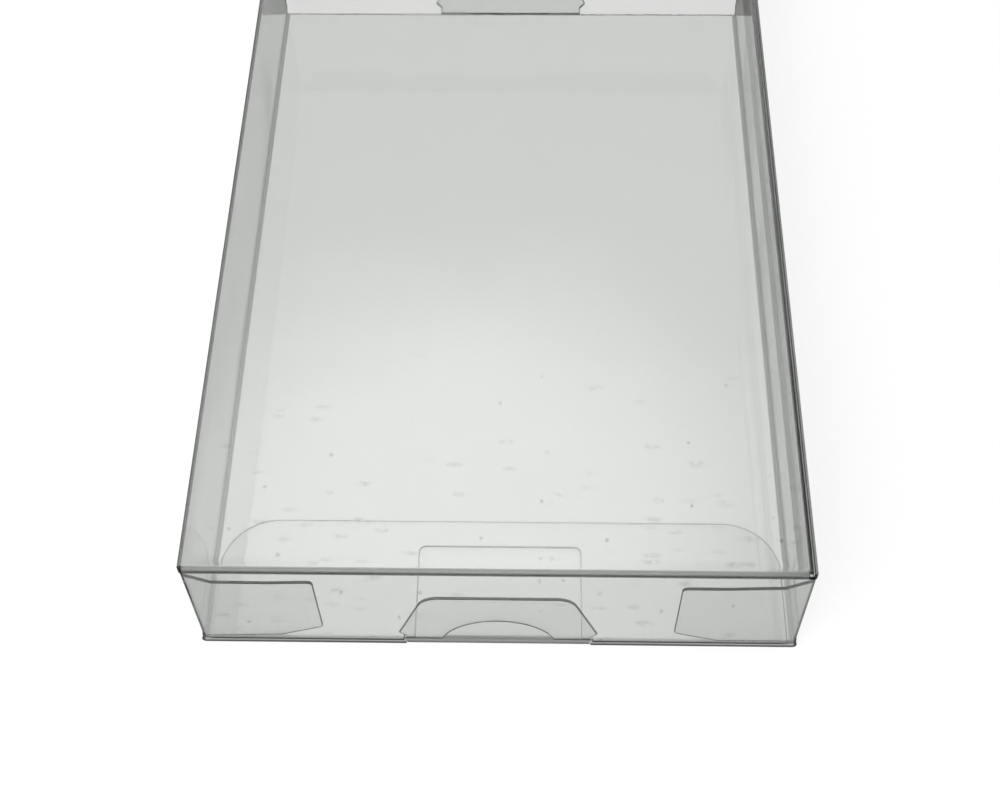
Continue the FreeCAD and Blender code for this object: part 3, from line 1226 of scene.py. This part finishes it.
    def on_tuck(self, x: float, reach: float) -> Point:
        """Flat point of the tuck flap at a reach from the lid's outer face."""
        return (self.top_middle + x, self.tuck_crease - (reach - self.sizes.fold_radius))

    def on_lid(self, x: float, height: float) -> Point:
        """Flat point of the lid at a height in the box."""
        fold_height = self.sizes.tuck_z + self.sizes.fold_radius
        return (self.top_middle + x, self.lid_foot + height - fold_height)

    def lid_outline(self) -> list[Point]:
        """Lid and tuck flap of the closed end, laid flat beyond the top panel.

        Returns:
            The outline, from the top panel's left end to its right end.
        """
        s = self.sizes
        left, right = self.top_middle - s.lid_half_width, self.top_middle + s.lid_half_width
        tuck = [self.on_tuck(x, reach) for x, reach in s.tuck_corners(s.fold_radius)]
        free_end = tuck[2:][::-1]
        return [
            (-self.top_end, s.fold_y),
            (-self.top_end, self.lid_top),
            (left, self.lid_top),
            (left, self.lid_foot),
            (self.top_middle - s.tuck_half_width, self.lid_foot),
            *free_end,
            (self.top_middle + s.tuck_half_width, self.lid_foot),
            (right, self.lid_foot),
            (right, self.lid_top),
            (-self.top_start, self.lid_top),
            (-self.top_start, s.fold_y),
        ]

    def lid_hole(self) -> list[Point]:
        """Half-moon, slot and window of the closed end.

        Returns:
            The outline of all three as one cut-out.
        """
        s = self.sizes
        slot, inner = s.slot_half_width, s.near_slot_reach
        return [
            self.on_lid(-slot, s.slot_rise),
            *[self.on_lid(x, height) for x, height in s.thumb_arc(s.slot_rise)],
            self.on_lid(slot, s.slot_rise),
            self.on_tuck(slot, inner),
            *[self.on_tuck(x, reach) for x, reach in reversed(s.window_corners(inner))],
            self.on_tuck(-slot, inner),
        ]

    def tab_outline(self) -> list[Point]:
        """Lock tab of the closed end, laid flat beyond the bottom panel.

        Returns:
            The outline, from its left foot to its right.
        """
        s = self.sizes
        upright_v = s.fold_y - self.tab.strip.folds[-1].end
        flat_tab = [(x, upright_v - (reach - s.upright_z)) for x, reach in s.tab_corners(s.upright_z)]
        foot = s.tab_foot_half_width
        return [(-foot, s.fold_y), *flat_tab[::-1], (foot, s.fold_y)]

    def dust_outline(self, side: float, flap: EndFlap) -> list[Point]:
        """One dust flap of the closed end, laid flat beyond its wall.

        Args:
            side: 1 for the right wall, -1 for the left.
            flap: the flap's place and fold.

        Returns:
            The outline, from the lower end of the crease to its upper end.
        """
        s = self.sizes
        arc = flap.strip.folds[0].arc

        def to_flat(height: float, run: float) -> Point:
            """Flat point of the flap at a height in the box and a run from the crease line."""
            return (side * (self.wall_start + height - s.fold_radius), s.wall_near - run)

        free = [to_flat(z, arc + reach - s.fold_radius) for z, reach in s.dust_corners(s.fold_radius)]
        return [to_flat(s.dust_low, 0.0), *free, to_flat(s.dust_high, 0.0)]

    def crease_lines(self) -> list[tuple[Point, Point]]:
        """Lines that the mesh follows.

        Returns:
            Start and end of each line across the folds, and of those beside the scored bands and the
            glued strip.
        """
        s = self.sizes
        lines = []
        scored = [self.bottom_half - self.scored_band, self.wall_start + self.scored_band]
        for side, strip in ((1.0, self.right_strip), (-1.0, self.left_strip)):
            for run in scored + strip.crease_lines(self.fold_steps):
                first = s.near if run < self.wall_start + ON_LINE else s.fold_y
                lines.append(((side * run, first), (side * run, s.wall_far)))
        lines.append(((-self.bond_start, s.wall_near), (-self.bond_start, s.wall_far)))
        dust_half = (self.dust_span[1] - self.dust_span[0]) / 2
        spans = (
            (self.lid, s.lid_half_width),
            (self.tab, s.tab_foot_half_width),
            (self.right_dust, dust_half),
            (self.left_dust, dust_half),
        )
        for flap, half_span in spans:
            for run in flap.strip.crease_lines(self.fold_steps):
                v = flap.start - run
                lines.append(((flap.carrier - half_span, v), (flap.carrier + half_span, v)))
        return lines

    def build(self, film: list[bpy.types.Material]) -> bpy.types.Object:
        """Folds the sheet, stands it in for its solid and dresses it.

        Args:
            film: material of each region.

        Returns:
            The new piece.
        """
        outlines = [
            *self.tube_outlines(),
            self.lid_outline(),
            self.tab_outline(),
            self.dust_outline(1.0, self.right_dust),
            self.dust_outline(-1.0, self.left_dust),
        ]
        blank = FilmBlank(
            "film_sleeve",
            self.sizes.sheet,
            outlines,
            self.place,
            holes=[self.lid_hole()],
            crease_lines=self.crease_lines(),
            region=self.region,
            edge_region=self.edge_region,
            rounding=self.rounding,
        )
        piece = blank.build()
        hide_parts("sleeve")
        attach(piece, "sleeve")
        self.dress(piece, film)
        return piece


@dataclass
class OpenEnd(BoxPart):
    """The open end's hinged flaps, each with a half-round root on its crease."""

    root_steps: int = 6

    def hinged(
        self,
        node: str,
        outline: list[Point],
        axis: Vector,
        across: Vector,
        along: Vector,
        region: Region = Region.SMALL_FLAP,
    ) -> bpy.types.Object:
        """Builds one flap and stands it in for its solid.

        Args:
            node: name of the CAD node, which is also the name of its body.
            outline: flat outline as (across, reach from the outer face that it is folded from).
            axis: a point of the crease's axis.
            across: direction of the crease.
            along: direction from the crease to the free edge.
            region: which finish the flap's faces take.

        Returns:
            The new piece.
        """
        root = self.sizes.root
        normal = across.cross(along)

        def place(point: Point, offset: Point, height: float) -> Vector:
            """Place of a flat point of the flap.

            Args:
                point: flat (across, reach).
                offset: small flat shift from that point.
                height: distance from the film's middle.

            Returns:
                The point in space, in millimetres.
            """
            sideways = across * (point[0] + offset[0])
            outwards = along * (point[1] + offset[1] - root)
            return axis + sideways + outwards + normal * height

        def rounding(first: Point, last: Point) -> float:
            """The root is half round, the other edges are cut."""
            on_root = abs(first[1]) < ON_LINE and abs(last[1]) < ON_LINE
            return root if on_root else CUT_ROUNDING

        blank = FilmBlank(
            f"film_{node}",
            self.sizes.sheet,
            [outline],
            place,
            region=lambda point: region,
            rounding=rounding,
            edge_steps=self.root_steps,
        )
        piece = blank.build()
        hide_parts(node)
        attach(piece, node)
        return piece

    def build(self, film: list[bpy.types.Material]) -> list[bpy.types.Object]:
        """Builds and dresses the lid, tuck flap, dust flaps and lock tab where they stand at rest.

        Args:
            film: material of each region.

        Returns:
            The new pieces.
        """
        s = self.sizes
        raise_angle = math.radians(s.lid_raise)
        tuck_angle = math.radians(s.lid_raise - s.tuck_bend)
        lid_along = Vector((0.0, math.cos(raise_angle), math.sin(raise_angle)))
        tuck_along = Vector((0.0, math.cos(tuck_angle), math.sin(tuck_angle)))
        lid_axis = Vector((0.0, s.far - s.root, s.depth - s.root))
        lid_reach = s.depth - s.root - (s.tuck_z + s.root)
        tuck_axis = lid_axis + lid_along * lid_reach
        tab_axis = Vector((0.0, s.standing_y, s.root))
        across = Vector((1.0, 0.0, 0.0))
        outwards = Vector((0.0, 1.0, 0.0))
        up = Vector((0.0, 0.0, 1.0))
        pieces = [
            self.hinged("far_lid", self.lid_outline(), lid_axis, across, lid_along, Region.PANEL),
            self.hinged("far_tuck_flap", self.tuck_outline(), tuck_axis, across, tuck_along, Region.PANEL),
            self.hinged("far_lock_tab", s.tab_corners(0.0), tab_axis, across, outwards),
        ]
        splay = math.radians(s.dust_splay)
        for side, name in ((-1.0, "far_dust_flap_left"), (1.0, "far_dust_flap_right")):
            axis = Vector((side * (s.half_width - s.root), s.standing_y, 0.0))
            along = Vector((side * math.sin(splay), math.cos(splay), 0.0))
            pieces.append(self.hinged(name, s.dust_corners(0.0), axis, up, along))
        for piece in pieces:
            self.dress(piece, film)
        return pieces

    def lid_outline(self) -> list[Point]:
        """Lid with the half-moon notch and the slot in its free edge.

        Returns:
            Its points as (x, reach from the top panel's outer face).
        """
        s = self.sizes
        side, slot = s.lid_half_width, s.slot_half_width
        end = s.depth - (s.tuck_z + s.root) - s.root_gap
        slot_top = s.depth - s.slot_rise
        moon = [(x, s.depth - height) for x, height in s.thumb_arc(s.slot_rise)]
        right = [(side, 0.0), (side, end), (slot, end), (slot, slot_top)]
        left = [(-slot, slot_top), (-slot, end), (-side, end), (-side, 0.0)]
        return right + moon[::-1] + left

    def tuck_outline(self) -> list[Point]:
        """Tuck flap with its rounded corners, and the window and slot open to the crease.

        Returns:
            Its points as (x, reach from the lid's outer face).
        """
        s = self.sizes
        slot, inner = s.slot_half_width, s.far_slot_reach
        border = s.tuck_corners(0.0)
        notch = [(-slot, 0.0), (-slot, inner), *s.window_corners(inner), (slot, inner), (slot, 0.0)]
        return border[:1] + notch + border[1:]


@dataclass
class SeamGlue(BoxPart):
    """Set adhesive between the glue flap and the right wall, with slightly uneven edges.

    A wave of its edges is a share of the unevenness and a length.
    """

    share_of_gap: float = 0.6
    unevenness: float = 0.12
    long_wave: Point = (0.3, 2.3)
    short_wave: Point = (0.2, 0.9)
    short_wave_phase: float = 1.0
    edge_points: int = 120
    grid_step: float = 2.0

    def sway(self, y: float) -> float:
        """Unevenness of the strip's edges at a place along the box.

        Args:
            y: the place along the box.

        Returns:
            A share from 0 to 1.
        """
        (long_share, long_length), (short_share, short_length) = self.long_wave, self.short_wave
        long = long_share * math.sin(y / long_length)
        return 0.5 + long + short_share * math.sin(y / short_length + self.short_wave_phase)

    def build(self, finishes: list[bpy.types.Material]) -> bpy.types.Object:
        """Builds the strip, stands it in for its solid and dresses it.

        Args:
            finishes: material of each region.

        Returns:
            The new piece.
        """
        s = self.sizes
        low = s.depth - s.glue_flap_width + s.glue_line_margin
        first, last = s.wall_near + s.glue_flap_taper, s.wall_far - s.glue_flap_taper
        lower, upper = [], []
        for step in range(self.edge_points + 1):
            y = first + (last - first) * step / self.edge_points
            sway = self.sway(y)
            lower.append((y, low + self.unevenness * sway))
            upper.append((y, low + s.glue_line_width - self.unevenness * (1 - sway)))
        middle = s.seam_x + s.glue_line_thickness / 2

        def place(point: Point, offset: Point, height: float) -> Vector:
            """Place of a flat (y, z) point of the strip, whose edges are left square."""
            return Vector((middle + height, point[0], point[1]))

        blank = FilmBlank(
            "seam_glue_strip",
            s.glue_line_thickness * self.share_of_gap,
            [lower + upper[::-1]],
            place,
            grid_step=self.grid_step,
        )
        piece = blank.build()
        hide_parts("seam_glue")
        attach(piece, "sleeve")
        self.dress(piece, finishes)
        return piece


# Studio


@dataclass(frozen=True)
class Studio:
    """White floor, soft light all round and the camera.

    The floor's lift is the light that makes it white to the eye, and less of it shows through film or in
    a reflection. The dome is brighter overhead, with a soft glow in one direction that the film mirrors.
    """

    floor_size: float = 6.0
    floor_drop: float = 0.0002
    floor_colour: Colour = (0.20, 0.20, 0.198)
    floor_lift: float = 0.84
    lift_through_film: float = 0.84
    lift_in_reflection: float = 0.05
    horizon: float = 0.10
    zenith: float = 0.45
    zenith_height: float = 0.85
    glow: float = 0.95
    glow_towards: Triple = (-0.05, 0.47, 0.88)
    glow_angles: Point = (1.0, 13.0)
    key_place: Triple = (-0.45, -0.75, 0.9)
    key_size: float = 0.8
    key_power: float = 12.0
    camera_place: Triple = (0.00381, -0.13828, 0.17782)
    camera_turn: Triple = (33.675, 0.704, 0.989)
    focal_length: float = 56.66
    sensor: float = 36.0
    nearest: float = 0.01
    furthest: float = 20.0
    film_bounces: int = 28
    mirror_bounces: int = 12

    def build(self) -> None:
        """Makes the floor, the light and the camera, and sets how colours are shown."""
        self.floor()
        self.world()
        self.key_lamp()
        self.camera()
        scene = bpy.context.scene
        scene.view_settings.view_transform = "Standard"
        scene.cycles.max_bounces = self.film_bounces
        scene.cycles.transmission_bounces = self.film_bounces
        scene.cycles.glossy_bounces = self.mirror_bounces

    def seen(self, bench: NodeBench) -> bpy.types.NodeSocket:
        """Share of the floor's lift that a ray sees.

        Args:
            bench: the floor's nodes.

        Returns:
            1 for what the camera sees straight, and less through film or in a reflection.
        """
        path = bench.add("ShaderNodeLightPath").outputs
        mirrored = bench.math("MULTIPLY", path["Is Glossy Ray"], self.lift_in_reflection)
        through = bench.math("MULTIPLY", path["Is Transmission Ray"], self.lift_through_film)
        return bench.math("MAXIMUM", path["Is Camera Ray"], bench.math("MAXIMUM", through, mirrored))

    def floor(self) -> None:
        """Plain white floor that keeps the shadow and fades into the backdrop."""
        half = self.floor_size / 2
        mesh = bpy.data.meshes.new("floor")
        corners = [(-half, -half), (half, -half), (half, half), (-half, half)]
        mesh.from_pydata([(x, y, -self.floor_drop) for x, y in corners], [], [(0, 1, 2, 3)])
        floor = bpy.data.objects.new("floor", mesh)
        bpy.context.scene.collection.objects.link(floor)
        material = bpy.data.materials.new("floor_white")
        material.use_nodes = True
        bench = NodeBench(material.node_tree)
        matt = bench.add("ShaderNodeBsdfDiffuse", {"Color": (*self.floor_colour, 1.0)})
        lift = bench.math("MULTIPLY", self.seen(bench), self.floor_lift)
        white = bench.add("ShaderNodeEmission", {"Color": WHITE, "Strength": lift})
        lifted = bench.add("ShaderNodeAddShader", {0: matt.outputs[0], 1: white.outputs[0]})
        bench.add("ShaderNodeOutputMaterial", {"Surface": lifted.outputs[0]})
        mesh.materials.append(material)

    def world(self) -> None:
        """Soft dome, brighter overhead, that the camera sees as plain white."""
        world = bpy.data.worlds.new("studio")
        bpy.context.scene.world = world
        world.use_nodes = True
        bench = NodeBench(world.node_tree)
        direction = bench.add("ShaderNodeTexCoord").outputs["Generated"]
        height = bench.add("ShaderNodeSeparateXYZ", {0: direction}).outputs["Z"]
        levels = {"From Max": self.zenith_height, "To Min": self.horizon, "To Max": self.zenith}
        dome = bench.add("ShaderNodeMapRange", {"Value": height, **levels})
        aim = Vector(self.glow_towards).normalized()
        nearness = bench.add("ShaderNodeVectorMath", {0: direction, 1: aim}, operation="DOT_PRODUCT")
        full, none = (math.cos(math.radians(angle)) for angle in self.glow_angles)
        glow = bench.math("MULTIPLY", bench.ramp(nearness.outputs["Value"], none, full), self.glow)
        level = bench.math("ADD", dome.outputs["Result"], glow)
        light = bench.add("ShaderNodeBackground", {"Color": WHITE, "Strength": level})
        white = bench.add("ShaderNodeBackground", {"Color": WHITE, "Strength": 1.0})
        camera_ray = bench.add("ShaderNodeLightPath").outputs["Is Camera Ray"]
        mixed = bench.add("ShaderNodeMixShader", {0: camera_ray, 1: light.outputs[0], 2: white.outputs[0]})
        bench.add("ShaderNodeOutputWorld", {"Surface": mixed.outputs[0]})

    def key_lamp(self) -> None:
        """Large soft box above the box, to its front left."""
        lamp = bpy.data.lights.new("key_soft_box", "AREA")
        lamp.shape = "SQUARE"
        lamp.size = self.key_size
        lamp.energy = self.key_power
        holder = bpy.data.objects.new("key_soft_box", lamp)
        holder.location = self.key_place
        holder.rotation_euler = (-Vector(self.key_place)).to_track_quat("-Z", "Y").to_euler()
        bpy.context.scene.collection.objects.link(holder)

    def camera(self) -> None:
        """Camera above and in front of the closed end, looking down at it."""
        camera = bpy.data.cameras.new("camera")
        camera.lens = self.focal_length
        camera.sensor_width = self.sensor
        camera.clip_start = self.nearest
        camera.clip_end = self.furthest
        holder = bpy.data.objects.new("camera", camera)
        holder.location = self.camera_place
        holder.rotation_euler = [math.radians(angle) for angle in self.camera_turn]
        bpy.context.scene.collection.objects.link(holder)
        bpy.context.scene.camera = holder


def main() -> None:
    """Builds the pieces, dresses them, and sets the studio round them."""
    logging.basicConfig(level=logging.INFO, format="%(message)s")
    LOG.info("frame: %d nodes", len(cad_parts))
    sizes = BoxSizes()
    HandlingMarks().group()
    FilmRipple().group()
    film = [FILM_FINISHES[region].material() for region in Region]
    pieces = [Sleeve(sizes).build(film), *OpenEnd(sizes).build(film)]
    pieces.append(SeamGlue(sizes).build([GLUE_FINISH.material()] * len(Region)))
    for piece in pieces:
        LOG.info("%s: %d faces", piece.name, len(piece.data.polygons))
    Studio().build()


if __name__ == "__main__":
    main()
